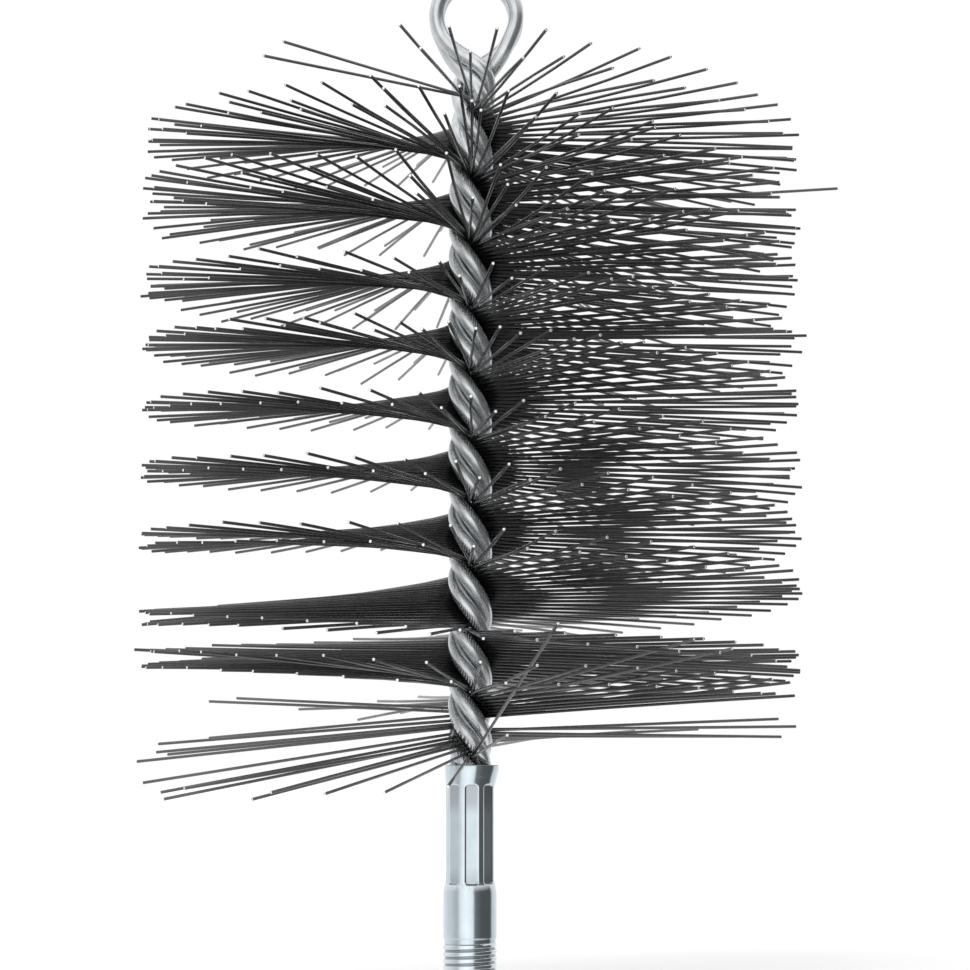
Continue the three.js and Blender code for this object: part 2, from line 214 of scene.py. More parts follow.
# Single bristles below the pack and astray in it: height in mm, direction and rise in degrees,
# length in mm
SINGLE_BRISTLES = (
    (84, 125, 0.5, 98), (82.5, 140, 3, 98), (81.5, 148, 3, 98), (81, 148, -3.5, 98),
    (79.5, 167, -4, 98), (78.5, 168, -5, 98), (78, 163, -5, 98), (77.5, 178, -6, 100),
    (76, -178, -9, 98), (75, -154, -10, 98), (74, -153, -10.5, 98), (73.5, -144, -8.5, 98),
    (72.5, -127, -9.5, 98), (73.5, -123, -9, 98), (71.5, -113, -8, 98), (70, -103, -7, 98),
    (69, -93, -5.5, 98), (76.5, 4, 0.5, 98), (75.5, 14, -0.5, 98), (76, 15, 2.5, 98),
    (74.5, 31, 0.5, 98), (73.5, 42, 2.5, 98), (72.5, 57, 3, 98), (70.5, 74, 3.5, 98),
    (68, -84, 3, 98), (67.5, -75, 21, 98), (84, -51, 9, 98), (83.5, -42, 8, 98),
    (268.5, -122, -3.5, 98), (268.5, -126, -5, 98), (233.5, 4, 4.5, 112),
)


# Sizes and colours that a user may change


def length(name, description, default):
    return bpy.props.FloatProperty(
        name=name,
        description=description,
        default=default,
        min=0,
        unit="LENGTH",
        subtype="DISTANCE",
    )


def angle(name, description, default):
    return bpy.props.FloatProperty(
        name=name, description=description, default=math.radians(default), subtype="ANGLE"
    )


def share(name, description, default):
    return bpy.props.FloatProperty(
        name=name, description=description, default=default, min=0, max=1, subtype="FACTOR"
    )


def colour(name, description, default):
    return bpy.props.FloatVectorProperty(
        name=name, description=description, default=default, size=3, min=0, max=1, subtype="COLOR"
    )


class StemSettings(bpy.types.PropertyGroup):
    """The two folded wires of the stem."""

    wire_diameter: length("Wire Diameter", "Thickness of one stem wire", 4.7 * MM)
    step_length: length("Step Length", "Distance between the rings of a wire", 1.3 * MM)
    sides: bpy.props.IntProperty(name="Sides", description="Faces round a wire", default=22, min=6)
    wire_colour: colour("Wire Colour", "Galvanised steel of the stem", (0.78, 0.81, 0.83))
    groove_colour: colour("Groove Colour", "Dull streaks drawn along the wire", (0.46, 0.48, 0.49))


class BristleSettings(bpy.types.PropertyGroup):
    """The spring steel bristles."""

    diameter: length("Diameter", "Thickness of one bristle", 0.9 * MM)
    brush_diameter: length("Brush Diameter", "From bristle end to bristle end", 196 * MM)
    spacing: length("Spacing", "Along the stem between bristles of one row", 0.87 * MM)
    splay: bpy.props.FloatProperty(
        name="Splay", description="Multiplies the angle between the two rows", default=1, min=0
    )
    least_error: angle("Least Error", "Usual error of direction where they lie well", 0.12)
    most_error: angle("Most Error", "Usual error of direction where they are bent about", 0.55)
    length_error: length("Length Error", "Usual error of a bristle's length", 0.7 * MM)
    seed: bpy.props.IntProperty(name="Seed", description="Seed of the small errors", default=7)
    bristle_colour: colour("Bristle Colour", "Oiled dark spring steel", (0.015, 0.015, 0.016))
    # random patches plus painted light that makes the skin lighter towards the ends
    patch_and_end_light_colour: colour("Worn Colour", "Rubbed skin, mostly near the ends", (0.047, 0.047, 0.049))
    # painted sheen: paler skin that stands in for the bright surroundings mirrored by the loose
    # bristles
    sheen_colour: colour("Loose Colour", "Paler skin of the loose bristles", (0.11, 0.11, 0.113))
    cut_colour: colour("Cut Colour", "Bare steel of the cut ends", (0.9, 0.9, 0.9))


class FerruleSettings(bpy.types.PropertyGroup):
    """The crimped and threaded ferrule."""

    columns: bpy.props.IntProperty(
        name="Columns", description="Faces round the ferrule", default=320
    )
    pocket_width: length("Pocket Width", "Width of one crimped pocket", 4.3 * MM)
    pocket_length: length("Pocket Length", "Length of one crimped pocket", 29.5 * MM)
    pocket_depth: length("Pocket Depth", "Depth of a pocket at its middle", 0.5 * MM)
    pocket_corner: length("Pocket Corner", "Radius of a pocket's corners", 1.1 * MM)
    pocket_wall: length("Pocket Wall", "Width of a pocket's sloping wall", 0.45 * MM)
    pocket_turn: angle("Pocket Turn", "How far the front pocket stands to the right", 4)
    thread_pitch: length("Thread Pitch", "Rise of the thread in one turn", 2 * MM)
    rim_bend: length("Rim Bend", "How far the mouth is pushed to the right", 0.6 * MM)
    zinc_colour: colour("Zinc Colour", "Bright zinc plating", (0.72, 0.81, 0.87))
    dull_colour: colour("Dull Colour", "Cloudy patches in the plating", (0.62, 0.71, 0.77))
    rubbed_colour: colour("Rubbed Colour", "Plating on the outer corners", (0.9, 0.92, 0.94))
    # painted reflection of the dark bristles at the pockets' upper ends, and darker towards their
    # foot
    pocket_darkening_colour: colour("Residue Colour", "Dull ends of the pockets", (0.36, 0.37, 0.39))
    # painted shade in the thread valleys and a painted reflection of the dark bristles on the lip
    darkening_colour: colour("Grime Colour", "Grime in the thread and on the lip", (0.16, 0.19, 0.21))


class StageSettings(bpy.types.PropertyGroup):
    """Camera, lights and floor."""

    camera_height: length("Camera Height", "Height of the camera above the floor", 60.2 * MM)
    camera_distance: length("Camera Distance", "From the camera to the stem", 800 * MM)
    camera_offset: length("Camera Offset", "Camera's place to the right of the stem", 4.42 * MM)
    camera_pitch: angle("Camera Pitch", "How far the camera looks up", 6.38)
    lens: bpy.props.FloatProperty(
        name="Lens", description="Focal length for a 36 mm sensor, in mm", default=99.43, min=1
    )
    sky_strength: share("Sky Strength", "Even light from all round", 0.55)
    key_strength: bpy.props.FloatProperty(
        name="Key Strength", description="Light from the upper left", default=1.1, min=0
    )
    fill_strength: bpy.props.FloatProperty(
        name="Fill Strength", description="Light from the right and from behind", default=0.5, min=0
    )
    floor_colour: colour("Floor Colour", "Plain pale floor", (0.9, 0.9, 0.9))
    floor_lift: share("Floor Lift", "Own light of the floor, so that it looks white", 0.3)
    floor_radius: length("Floor Radius", "From the stem to the floor's edge", 300)


class ChimneyBrushSettings(bpy.types.PropertyGroup):
    """All settings of the brush and its stage."""

    stem: bpy.props.PointerProperty(type=StemSettings)
    bristles: bpy.props.PointerProperty(type=BristleSettings)
    ferrule: bpy.props.PointerProperty(type=FerruleSettings)
    stage: bpy.props.PointerProperty(type=StageSettings)


# The twist, as in the frame


def mix(low, high, part):
    return low + (high - low) * part


def smoothstep(value, low, high):
    part = min(max((value - low) / (high - low), 0), 1)
    return part * part * (3 - 2 * part)


def twist_angle(height):
    """Direction of the bristles at a height; zero points right, at the crossing of the legs."""
    drop = CROSSING_HEIGHT - height
    turns = drop / LOOSE_TWIST + EXTRA_RATE * drop * drop / (2 * (CROSSING_HEIGHT - RIM_HEIGHT))
    return TURN * turns


def axis_offset(height):
    return STEM_LEAN * smoothstep(height, CROSSING_HEIGHT - LEAN_LENGTH, CROSSING_HEIGHT)


def axis_point(height):
    return Vector((axis_offset(height), 0, height))


def strand_point(pair_direction, place_in_pair, height):
    part = smoothstep(height, CRIMP_TOP, BRISTLE_FOOT)
    orbit = mix(GRIP_ORBIT, STEM_ORBIT, part)
    spread = mix(GRIP_PAIR_ANGLE, STEM_PAIR_ANGLE, part)
    turned = pair_direction + place_in_pair * spread / 2 + twist_angle(height)
    across = axis_offset(height) + orbit * math.cos(turned)
    return Vector((across, orbit * math.sin(turned), height))


# Pieces as objects


def finished_piece(name, build, slot, *nodes):
    """Puts a bmesh into the scene as a piece that stands for its nodes."""
    mesh = bpy.data.meshes.new(name)
    build.to_mesh(mesh)
    build.free()
    piece = bpy.data.objects.new(name, mesh)
    bpy.context.scene.collection.objects.link(piece)
    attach(piece, "root")
    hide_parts(*nodes)
    return piece


# Node helpers


def new_group(name, inputs, outputs):
    """A shader node group with named sockets; returns it with its input and output nodes."""
    group = bpy.data.node_groups.new(name, "ShaderNodeTree")
    for socket_name, kind, default in inputs:
        socket = group.interface.new_socket(name=socket_name, in_out="INPUT", socket_type=kind)
        if default is not None:
            socket.default_value = default
    for socket_name, kind in outputs:
        group.interface.new_socket(name=socket_name, in_out="OUTPUT", socket_type=kind)
    return group, group.nodes.new("NodeGroupInput"), group.nodes.new("NodeGroupOutput")


def add_node(tree, kind, values=None, **settings):
    node = tree.nodes.new(kind)
    for name, value in settings.items():
        setattr(node, name, value)
    for name, value in (values or {}).items():
        if isinstance(value, bpy.types.NodeSocket):
            tree.links.new(value, node.inputs[name])
        else:
            node.inputs[name].default_value = value
    return node


def add_math(tree, operation, first, second):
    return add_node(tree, "ShaderNodeMath", {0: first, 1: second}, operation=operation).outputs[0]


def weighed(tree, first, first_weight, second, second_weight):
    """Sum of two values with their weights."""
    first = add_math(tree, "MULTIPLY", first, first_weight)
    second = add_math(tree, "MULTIPLY", second, second_weight)
    return add_math(tree, "ADD", first, second)


def mapped(tree, value, low, high, new_low, new_high):
    values = {"Value": value, "From Min": low, "From Max": high}
    values |= {"To Min": new_low, "To Max": new_high}
    return add_node(tree, "ShaderNodeMapRange", values).outputs["Result"]


def blended(tree, factor, first, second):
    """Mix of two colours, by the places that the mix node gives its colour sockets."""
    values = {0: factor, 6: first, 7: second}
    return add_node(tree, "ShaderNodeMix", values, data_type="RGBA").outputs[2]


def opaque(rgb):
    return (*rgb, 1)


def streaks_group():
    """Fine lines drawn out along one axis, with softer bands among them."""
    inputs = [
        ("Vector", "NodeSocketVector", None),
        ("Stretch", "NodeSocketVector", (1, 1, 1)),
        ("Scale", "NodeSocketFloat", 1000.0),
        ("Band Scale", "NodeSocketFloat", 300.0),
    ]
    outputs = [("Streaks", "NodeSocketFloat"), ("Height", "NodeSocketFloat")]
    group, given, result = new_group("drawn_streaks", inputs, outputs)
    scaled = add_node(
        group,
        "ShaderNodeVectorMath",
        {0: given.outputs["Vector"], 1: given.outputs["Stretch"]},
        operation="MULTIPLY",
    ).outputs[0]
    fine = add_node(
        group,
        "ShaderNodeTexNoise",
        {"Vector": scaled, "Scale": given.outputs["Scale"], "Detail": 3.0, "Roughness": 0.6},
    ).outputs["Fac"]
    band = add_node(
        group,
        "ShaderNodeTexNoise",
        {"Vector": scaled, "Scale": given.outputs["Band Scale"], "Detail": 2.0, "Roughness": 0.5},
    ).outputs["Fac"]
    both = weighed(group, fine, 0.45, band, 0.55)
    group.links.new(mapped(group, both, 0.36, 0.64, 0, 1), result.inputs["Streaks"])
    group.links.new(fine, result.inputs["Height"])
    return group


def clouds_group():
    """Soft patches."""
    inputs = [("Vector", "NodeSocketVector", None), ("Scale", "NodeSocketFloat", 100.0)]
    outputs = [("Clouds", "NodeSocketFloat")]
    group, given, result = new_group("plating_clouds", inputs, outputs)
    soft = add_node(
        group,
        "ShaderNodeTexNoise",
        {
            "Vector": given.outputs["Vector"],
            "Scale": given.outputs["Scale"],
            "Detail": 4.0,
            "Distortion": 0.6,
        },
    ).outputs["Fac"]
    group.links.new(mapped(group, soft, 0.38, 0.62, 0, 1), result.inputs["Clouds"])
    return group


def shared_group(name):
    """Builds a node group once, and hands out the same one after that."""
    makers = {"drawn_streaks": streaks_group, "plating_clouds": clouds_group}
    return bpy.data.node_groups.get(name) or makers[name]()


def add_group(tree, name, values):
    return add_node(tree, "ShaderNodeGroup", values, node_tree=shared_group(name))


def new_material(name, metallic):
    """A material with its Principled shader; returns the material, its tree and the shader."""
    material = bpy.data.materials.new(name)
    material.use_nodes = True
    tree = material.node_tree
    shader = tree.nodes["Principled BSDF"]
    shader.inputs["Metallic"].default_value = metallic
    return material, tree, shader


def add_bump(tree, shader, height, strength, distance):
    values = {"Height": height, "Strength": strength, "Distance": distance}
    bump = add_node(tree, "ShaderNodeBump", values)
    tree.links.new(bump.outputs["Normal"], shader.inputs["Normal"])


def attribute(tree, name):
    return add_node(tree, "ShaderNodeAttribute", attribute_name=name).outputs["Fac"]


# Stem wires


def bezier(start, start_handle, end_handle, end, steps):
    points = []
    for i in range(1, steps + 1):
        t = i / steps
        s = 1 - t
        points.append(
            s**3 * start + 3 * s * s * t * start_handle + 3 * s * t * t * end_handle + t**3 * end
        )
    return points


def strand_points(pair_direction, place_in_pair, high, step):
    steps = math.ceil((high - WIRE_FOOT) / (step * TWIST_STEP_SHARE))
    heights = [mix(WIRE_FOOT, high, i / steps) for i in range(steps + 1)]
    return [strand_point(pair_direction, place_in_pair, height) for height in heights]


def loop_point(depth, turned):
    across, upward = LOOP_RADIUS * math.cos(turned), LOOP_RADIUS * math.sin(turned)
    return Vector((LOOP_OFFSET + across, depth, LOOP_HEIGHT + upward))


def leg_points(leg, strand, loop_end, loop_direction, step):
    """The bend from a strand's upper end to the loop."""
    start = strand[-1]
    start_direction = (strand[-1] - strand[-2]).normalized()
    start_handle = start + start_direction * leg["stem"]
    end_handle = loop_end - loop_direction * leg["loop"]
    steps = math.ceil((loop_end - start).length * LEG_SPAN_SHARE / step)
    return bezier(start, start_handle, end_handle, loop_end, steps)


def folded_wire_points(side, step):
    """Centre line of a folded wire; side is -1 for the front wire and 1 for the rear one."""
    depth = side * LOOP_DEPTH
    left_leg, right_leg = (UPPER_LEG, LOWER_LEG) if side < 0 else (LOWER_LEG, UPPER_LEG)
    left = strand_points(-math.pi / 2, -side, CROSSING_HEIGHT - left_leg["drop"], step)
    right = strand_points(math.pi / 2, side, CROSSING_HEIGHT - right_leg["drop"], step)
    first, last = math.pi + left_leg["join"], -right_leg["join"]
    left_direction = Vector((math.sin(first), 0, -math.cos(first)))
    right_direction = Vector((-math.sin(last), 0, math.cos(last)))
    steps = math.ceil((first - last) * LOOP_RADIUS / step)
    arc = [loop_point(depth, mix(first, last, i / steps)) for i in range(1, steps)]
    left_bend = leg_points(left_leg, left, loop_point(depth, first), left_direction, step)
    right_bend = leg_points(right_leg, right, loop_point(depth, last), right_direction, step)
    return left + left_bend + arc + right_bend[::-1] + right[::-1]


def extruded_ring(build, ring, move):
    """Extrudes the open end of a tube; returns the edges and vertices of the new end."""
    made = bmesh.ops.extrude_edge_only(build, edges=ring)["geom"]
    verts = [item for item in made if isinstance(item, bmesh.types.BMVert)]
    bmesh.ops.transform(build, matrix=move, verts=verts)
    edges = [item for item in made if isinstance(item, bmesh.types.BMEdge)]
    return [edge for edge in edges if edge.verts[0] in verts and edge.verts[1] in verts], verts


def close_ends(build):
    ends = [edge for edge in build.edges if edge.is_boundary]
    bmesh.ops.holes_fill(build, edges=ends, sides=0)
    bmesh.ops.recalc_face_normals(build, faces=build.faces)


def wire_mesh(points, radius, sides):
    """A round wire: a ring that is extruded along the points, turning as little as it can."""
    build = bmesh.new()
    along_layer = build.verts.layers.float.new("along")
    around_layer = build.verts.layers.float.new("around")
    directions = []
    for i in range(len(points)):
        before, after = points[max(i - 1, 0)], points[min(i + 1, len(points) - 1)]
        directions.append((after - before).normalized())
    facing = directions[0].to_track_quat("Z", "X").to_matrix().to_4x4()
    place = Matrix.Translation(points[0]) @ facing
    made = bmesh.ops.create_circle(build, radius=radius, segments=sides, matrix=place)
    for i, vert in enumerate(made["verts"]):
        vert[around_layer] = math.sin(TURN * i / sides / 2)
    ring = build.edges[:]
    travelled = 0
    for i in range(1, len(points)):
        travelled += (points[i] - points[i - 1]).length
        turned = directions[i - 1].rotation_difference(directions[i]).to_matrix().to_4x4()
        move = Matrix.Translation(points[i]) @ turned @ Matrix.Translation(-points[i - 1])
        ring, verts = extruded_ring(build, ring, move)
        for vert in verts:
            vert[along_layer] = travelled
    close_ends(build)
    for face in build.faces:
        face.smooth = len(face.verts) == 4
    return build


def wire_material(settings):
    material, tree, shader = new_material("galvanised_wire", WIRE_METAL)
    around, along = attribute(tree, "around"), attribute(tree, "along")
    lengthways = add_node(tree, "ShaderNodeCombineXYZ", {"X": around, "Y": along}).outputs[0]
    place = add_node(tree, "ShaderNodeTexCoord").outputs["Object"]
    streaks = add_group(
        tree,
        "drawn_streaks",
        {"Vector": lengthways, "Stretch": (1, 9, 1), "Scale": 14.0, "Band Scale": 5.0},
    )
    clouds = add_group(tree, "plating_clouds", {"Vector": place, "Scale": 260.0})
    dull = weighed(tree, streaks.outputs["Streaks"], 0.5, clouds.outputs["Clouds"], 0.3)
    base = blended(tree, dull, opaque(settings.wire_colour), opaque(settings.groove_colour))
    tree.links.new(base, shader.inputs["Base Color"])
    tree.links.new(mapped(tree, dull, 0, 1, *WIRE_ROUGHNESS), shader.inputs["Roughness"])
    add_bump(tree, shader, streaks.outputs["Height"], 0.15, 0.00003)
    return material


# Bristles


def bristle_template(radius, bare_end=1):
    """One straight bristle along +Z, one unit long and closed, with a slightly domed end."""
    build = bmesh.new()
    build.verts.layers.float.new("tone")
    outward_layer = build.verts.layers.float.new("outward")
    cut_layer = build.faces.layers.float.new("cut_end")
    bmesh.ops.create_circle(build, radius=radius, segments=6)
    ring = build.edges[:]
    reached = 0
    for part in BRISTLE_RINGS:
        ring, verts = extruded_ring(build, ring, Matrix.Translation((0, 0, part - reached)))
        reached = part
    close_ends(build)
    cap = max(build.faces, key=lambda face: face.calc_center_median().z)
    made = bmesh.ops.inset_region(build, faces=[cap], thickness=radius * DOME_RIM, depth=0)
    bmesh.ops.translate(build, verts=cap.verts, vec=(0, 0, DOME_HEIGHT))
    for face in [cap, *made["faces"]]:
        face[cut_layer] = bare_end
    for vert in build.verts:
        vert[outward_layer] = vert.co.z
    for face in build.faces:
        face.smooth = len(face.verts) == 4 and abs(face.normal.z) < 0.5
    return build


def at_quarters(angles, quarters):
    """An angle in radians from a table in degrees, in a straight line between the quarter turns."""
    above = min(int(quarters), len(angles) - 2)
    return math.radians(mix(angles[above], angles[above + 1], quarters - above))


def row_angles(height, side, row, splay):
    """A row's rise at the stem, and how far it bends away from the other row after that."""
    quarters = twist_angle(height) * 4 / TURN
    apart = row * splay * at_quarters(SPLAYS[side], quarters)
    rise = at_quarters(RISES[side], quarters) + ROOT_SPLAY_SHARE * apart
    return rise, (1 - ROOT_SPLAY_SHARE) * apart


def disorder(height):
    """Share of irregularity: little near the ferrule, most above the middle, less at the top."""
    rising = smoothstep(height, DISORDER_FROM, DISORDER_TO)
    return rising * mix(1, 0.5, smoothstep(height, CALMER_FROM, CALMER_TO))


def add_bristle(build, template, holder, root, direction, reach, bend, tone):
    """Copies the template along a direction; bend is how far its end is off the straight line."""
    single = template.copy()
    tone_layer = single.verts.layers.float["tone"]
    across = direction.cross(Vector((0, 0, 1))).normalized()
    upward = across.cross(direction)
    for vert in single.verts:
        x, y, part = vert.co
        vert.co = root + direction * (part * reach) + bend * (part * part) + across * x + upward * y
        vert[tone_layer] = tone
    single.to_mesh(holder)
    single.free()
    build.from_mesh(holder)


def bristle_direction(turned, rise):
    level = math.cos(rise)
    return Vector((math.cos(turned) * level, math.sin(turned) * level, math.sin(rise)))


def packed_bristles(low, high, settings, chance):
    """Root, direction, reach and upward bend of each bristle in the pack between two heights."""
    count = round((high - low) / settings.spacing)
    step = (high - low) / count
    for i in range(count):
        rows = [(1, -1), (1, 1), (-1, -1), (-1, 1)]
        if i % 2 == 0 and MIDDLE_ROW_FOOT < low + i * step < MIDDLE_ROW_TOP:
            rows += [(0, -1), (0, 1)]
        for row, side in rows:
            height = low + (i + 0.5 + ROW_STAGGER * row) * step
            wild = disorder(height)
            turn_error = chance.gauss(0, mix(settings.least_error, settings.most_error, wild))
            rise_error = chance.gauss(0, mix(settings.least_error, settings.most_error, wild))
            reach = settings.brush_diameter / 2 + chance.gauss(0, settings.length_error)
            if height < DENSE_FROM[side]:
                continue
            turned = twist_angle(height) + turn_error + (math.pi if side < 0 else 0)
            rise, apart = row_angles(height, side, row, settings.splay)
            # the two rows lie on the two faces of the slice that the stem grips
            normal = Vector((math.sin(turned), -math.cos(turned), 0))
            root = axis_point(height) - normal * (row * settings.diameter / 2)
            yield root, bristle_direction(turned, rise + rise_error), reach, reach * apart


def single_bristles(low, high):
    """The same for the single bristles between two heights, which don't bend away from a row."""
    for height, turned, rise, reach in SINGLE_BRISTLES:
        if low <= height * MM < high:
            direction = bristle_direction(math.radians(turned), math.radians(rise))
            yield axis_point(height * MM), direction, reach * MM, 0


def slot_ends(low):
    """Short ends of bristles that fill the slot between the strand pairs below the dense pack."""
    for side, first in DENSE_FROM.items():
        count = math.ceil((first - low) / SLOT_END_SPACING)
        for i in range(count):
            height = mix(low, first, i / count)
            turned = twist_angle(height) + (math.pi if side < 0 else 0)
            yield axis_point(height), bristle_direction(turned, 0), SLOT_END_REACH


def bristles_between(low, high, limits, template, settings, chance):
    build = bmesh.new()
    holder = bpy.data.meshes.new("bristle_holder")
    packed = list(packed_bristles(low, high, settings, chance))
    for i, (root, direction, reach, upward) in enumerate(packed + list(single_bristles(*limits))):
        bow = mix(LEAST_BOW, MOST_BOW, disorder(root.z))
        bend = Vector((chance.gauss(0, bow), chance.gauss(0, bow), chance.gauss(0, bow) + upward))
        start = root + direction * GRIP_DEPTH
        # painted sheen for the top of the pack and the single bristles
        painted_sheen = smoothstep(root.z, SHEEN_FROM, SHEEN_TO) if i < len(packed) else 1
        tone = mix(chance.random(), SHEEN_TONE, painted_sheen)
        add_bristle(build, template, holder, start, direction, reach - GRIP_DEPTH, bend, tone)
    if low < min(DENSE_FROM.values()):
        short = bristle_template(settings.diameter / 2, 0)
        for root, direction, reach in slot_ends(SLOT_FOOT):
            add_bristle(build, short, holder, root, direction, reach, Vector(), 0)
        short.free()
    bpy.data.meshes.remove(holder)
    return build


def bristle_material(settings):
    material, tree, shader = new_material("dark_spring_steel", BRISTLE_METAL[0])
    shader.inputs["IOR"].default_value = BRISTLE_IOR
    place = add_node(tree, "ShaderNodeTexCoord").outputs["Object"]
    tone, cut = attribute(tree, "tone"), attribute(tree, "cut_end")
    clouds = add_group(tree, "plating_clouds", {"Vector": place, "Scale": 60.0})
    patchy = mapped(tree, tone, 0, 1, *BRISTLE_PATCHES)
    patches = add_math(tree, "MULTIPLY", clouds.outputs["Clouds"], patchy)
    # painted light: lighter towards the ends, darker near the stem where the pack shades itself
    outward = mapped(tree, attribute(tree, "outward"), END_LIGHT_FROM, 1, 0, END_LIGHT_MOST)
    lightened = add_math(tree, "ADD", patches, outward)
    skin = blended(tree, lightened, opaque(settings.bristle_colour), opaque(settings.patch_and_end_light_colour))
    # painted sheen: a paler skin where the bristles stand loose and mirror the bright surroundings
    painted_sheen = mapped(tree, tone, 1, SHEEN_TONE, 0, 1)
    skin = blended(tree, painted_sheen, skin, opaque(settings.sheen_colour))
    base = blended(tree, cut, skin, opaque(settings.cut_colour))
    tree.links.new(base, shader.inputs["Base Color"])
    smoother = add_math(tree, "MULTIPLY", lightened, LIGHTENED_SMOOTHER)
    rough = add_math(tree, "ADD", mapped(tree, tone, 0, 1, *BRISTLE_ROUGHNESS), smoother)
    tree.links.new(rough, shader.inputs["Roughness"])
    metallic = mapped(tree, cut, 0, 1, *BRISTLE_METAL)
    tree.links.new(metallic, shader.inputs["Metallic"])
    return material


# Ferrule


def spun(outline, columns, start, rise=0.0):
    """Spins an outline of (radius, height) points round the axis; a rise makes it a screw."""
    build = bmesh.new()
    turned = Vector((math.cos(start), math.sin(start), 0))
    line = [build.verts.new(turned * radius + Vector((0, 0, height))) for radius, height in outline]
    for first, second in zip(line, line[1:]):
        build.edges.new((first, second))
    bmesh.ops.spin(
        build,
        geom=build.verts[:] + build.edges[:],
        cent=(0, 0, 0),
        axis=(0, 0, 1),
        dvec=(0, 0, rise / columns),
        angle=TURN,
        steps=columns,
        use_merge=rise == 0,
    )
    bmesh.ops.remove_doubles(build, verts=build.verts, dist=MERGE)
    return build


def rows_between(low, high, step):
    count = max(1, round((high - low) / step))
    return [mix(low, high, i / count) for i in range(1, count + 1)]


def rounded(outline, cut, steps=4):
    """An outline whose inner corners are small curves that start a cut's length before them."""
    result = [outline[0]]
    for before, corner, after in zip(outline, outline[1:], outline[2:]):
        corner = Vector(corner)
        ends = []
        for other in (before, after):
            way = Vector(other) - corner
            ends.append(corner + way.normalized() * min(cut, way.length / 2.2))
        for i in range(steps + 1):
            part = i / steps
            point = ends[0].lerp(corner, part).lerp(corner.lerp(ends[1], part), part)
            result.append((point.x, point.y))
    return result + [outline[-1]]


def ferrule_outline(settings):
    """From the top of the thread up the outside, over the rim and down the bore."""
    foot = CRIMP_TOP - settings.pocket_length
    corner = settings.pocket_corner + MOUTH_ROUNDING
    outline = rounded(
        [
            (THREAD_BLANK_RADIUS, THREAD_TOP - SEAM),
            (BODY_RADIUS, THREAD_TOP + SHOULDER),
            (BODY_RADIUS, CRIMP_FOOT - EDGE),
            (mix(BODY_RADIUS, LAND_RADIUS, 0.5), foot - FINE_ROW),
        ],
        ROUNDING,
    )
    land = rows_between(foot - FINE_ROW, foot + corner, FINE_ROW)
    land += rows_between(foot + corner, CRIMP_TOP - corner, COARSE_ROW)
    land += rows_between(CRIMP_TOP - corner, CRIMP_TOP, FINE_ROW)
    for height in land:
        crimped = smoothstep(height, CRIMP_FOOT - CRIMP_EASE, foot + LAND_EASE)
        outline.append((mix(BODY_RADIUS, LAND_RADIUS, crimped), height))
    collar = RIM_HEIGHT - EDGE
    for height in rows_between(CRIMP_TOP, collar, COLLAR_ROW):
        part = (height - CRIMP_TOP) / (collar - CRIMP_TOP)
        outline.append((mix(LAND_RADIUS, RIM_RADIUS, smoothstep(part, *COLLAR_FLARE)), height))
    mouth = [
        outline[-1],
        (RIM_RADIUS - LIP_SLOPE, RIM_HEIGHT),
        (RIM_BORE_RADIUS, RIM_HEIGHT),
        (BORE_RADIUS, CRIMP_TOP),
        (BORE_RADIUS, BORE_FLOOR),
        (0, BORE_FLOOR),
    ]
    return outline[:-1] + rounded(mouth, MOUTH_ROUNDING)


def press_pockets(build, settings):
    """Presses pockets into the land, as a tool with eight jaws does, and paints them darker: a
    painted reflection of the bristles at their upper ends, and darker towards their foot.
    """
    middle = CRIMP_TOP - settings.pocket_length / 2
    floor = LAND_RADIUS - settings.pocket_depth
    half_width = settings.pocket_width / 2 - settings.pocket_corner
    half_length = settings.pocket_length / 2 - settings.pocket_corner
    pocket_darkening_layer = build.verts.layers.float.new("pocket_darkening")
    for vert in build.verts:
        radius = math.hypot(vert.co.x, vert.co.y)
        if radius < OUTSIDE_OF_BORE or not CRIMP_FOOT < vert.co.z < CRIMP_TOP + COLLAR_ROW:
            continue
        turned = math.atan2(vert.co.y, vert.co.x) + math.pi / 2 - settings.pocket_turn
        jaw = TURN / JAWS
        turned -= jaw * round(turned / jaw)
        across = abs(math.sin(turned)) * LAND_RADIUS - half_width
        along = abs(vert.co.z - middle) - half_length
        outside = math.hypot(max(across, 0), max(along, 0)) + min(max(across, along), 0)
        inside = smoothstep(settings.pocket_corner - outside, 0, settings.pocket_wall)
        pressed = mix(radius, min(radius, floor / math.cos(turned)), inside)
        vert.co.xy *= pressed / radius
        # painted reflection of the dark bristles at the pockets' upper ends; darker towards their
        # foot
        upper = smoothstep(CRIMP_TOP - vert.co.z, *UPPER_POCKET_DARKENING)
        lower = smoothstep(vert.co.z - (middle - half_length), LOWER_POCKET_DARKENING, 0)
        vert[pocket_darkening_layer] = inside * max(upper, LOWER_POCKET_DARKENING_SHARE * lower)


def bend_mouth(build, settings):
    """Pushes the mouth a little to the right, where the wires lean on it. Its lip is painted dark,
    a painted reflection of the dark bristles just above.
    """
    painted_darkening_layer = build.verts.layers.float["painted_darkening"]
    for vert in build.verts:
        if math.hypot(vert.co.x, vert.co.y) > OUTSIDE_OF_MOUTH:
            bent = smoothstep(vert.co.z, CRIMP_TOP - BEND_LENGTH, RIM_HEIGHT)
            vert.co.x += settings.rim_bend * bent
            # painted reflection: a dark line along the lip stands in for the dark bristles mirrored
            # there
            vert[painted_darkening_layer] = LIP_DARKENING * smoothstep(RIM_HEIGHT - vert.co.z, *LIP_DARKENING_DEPTHS)


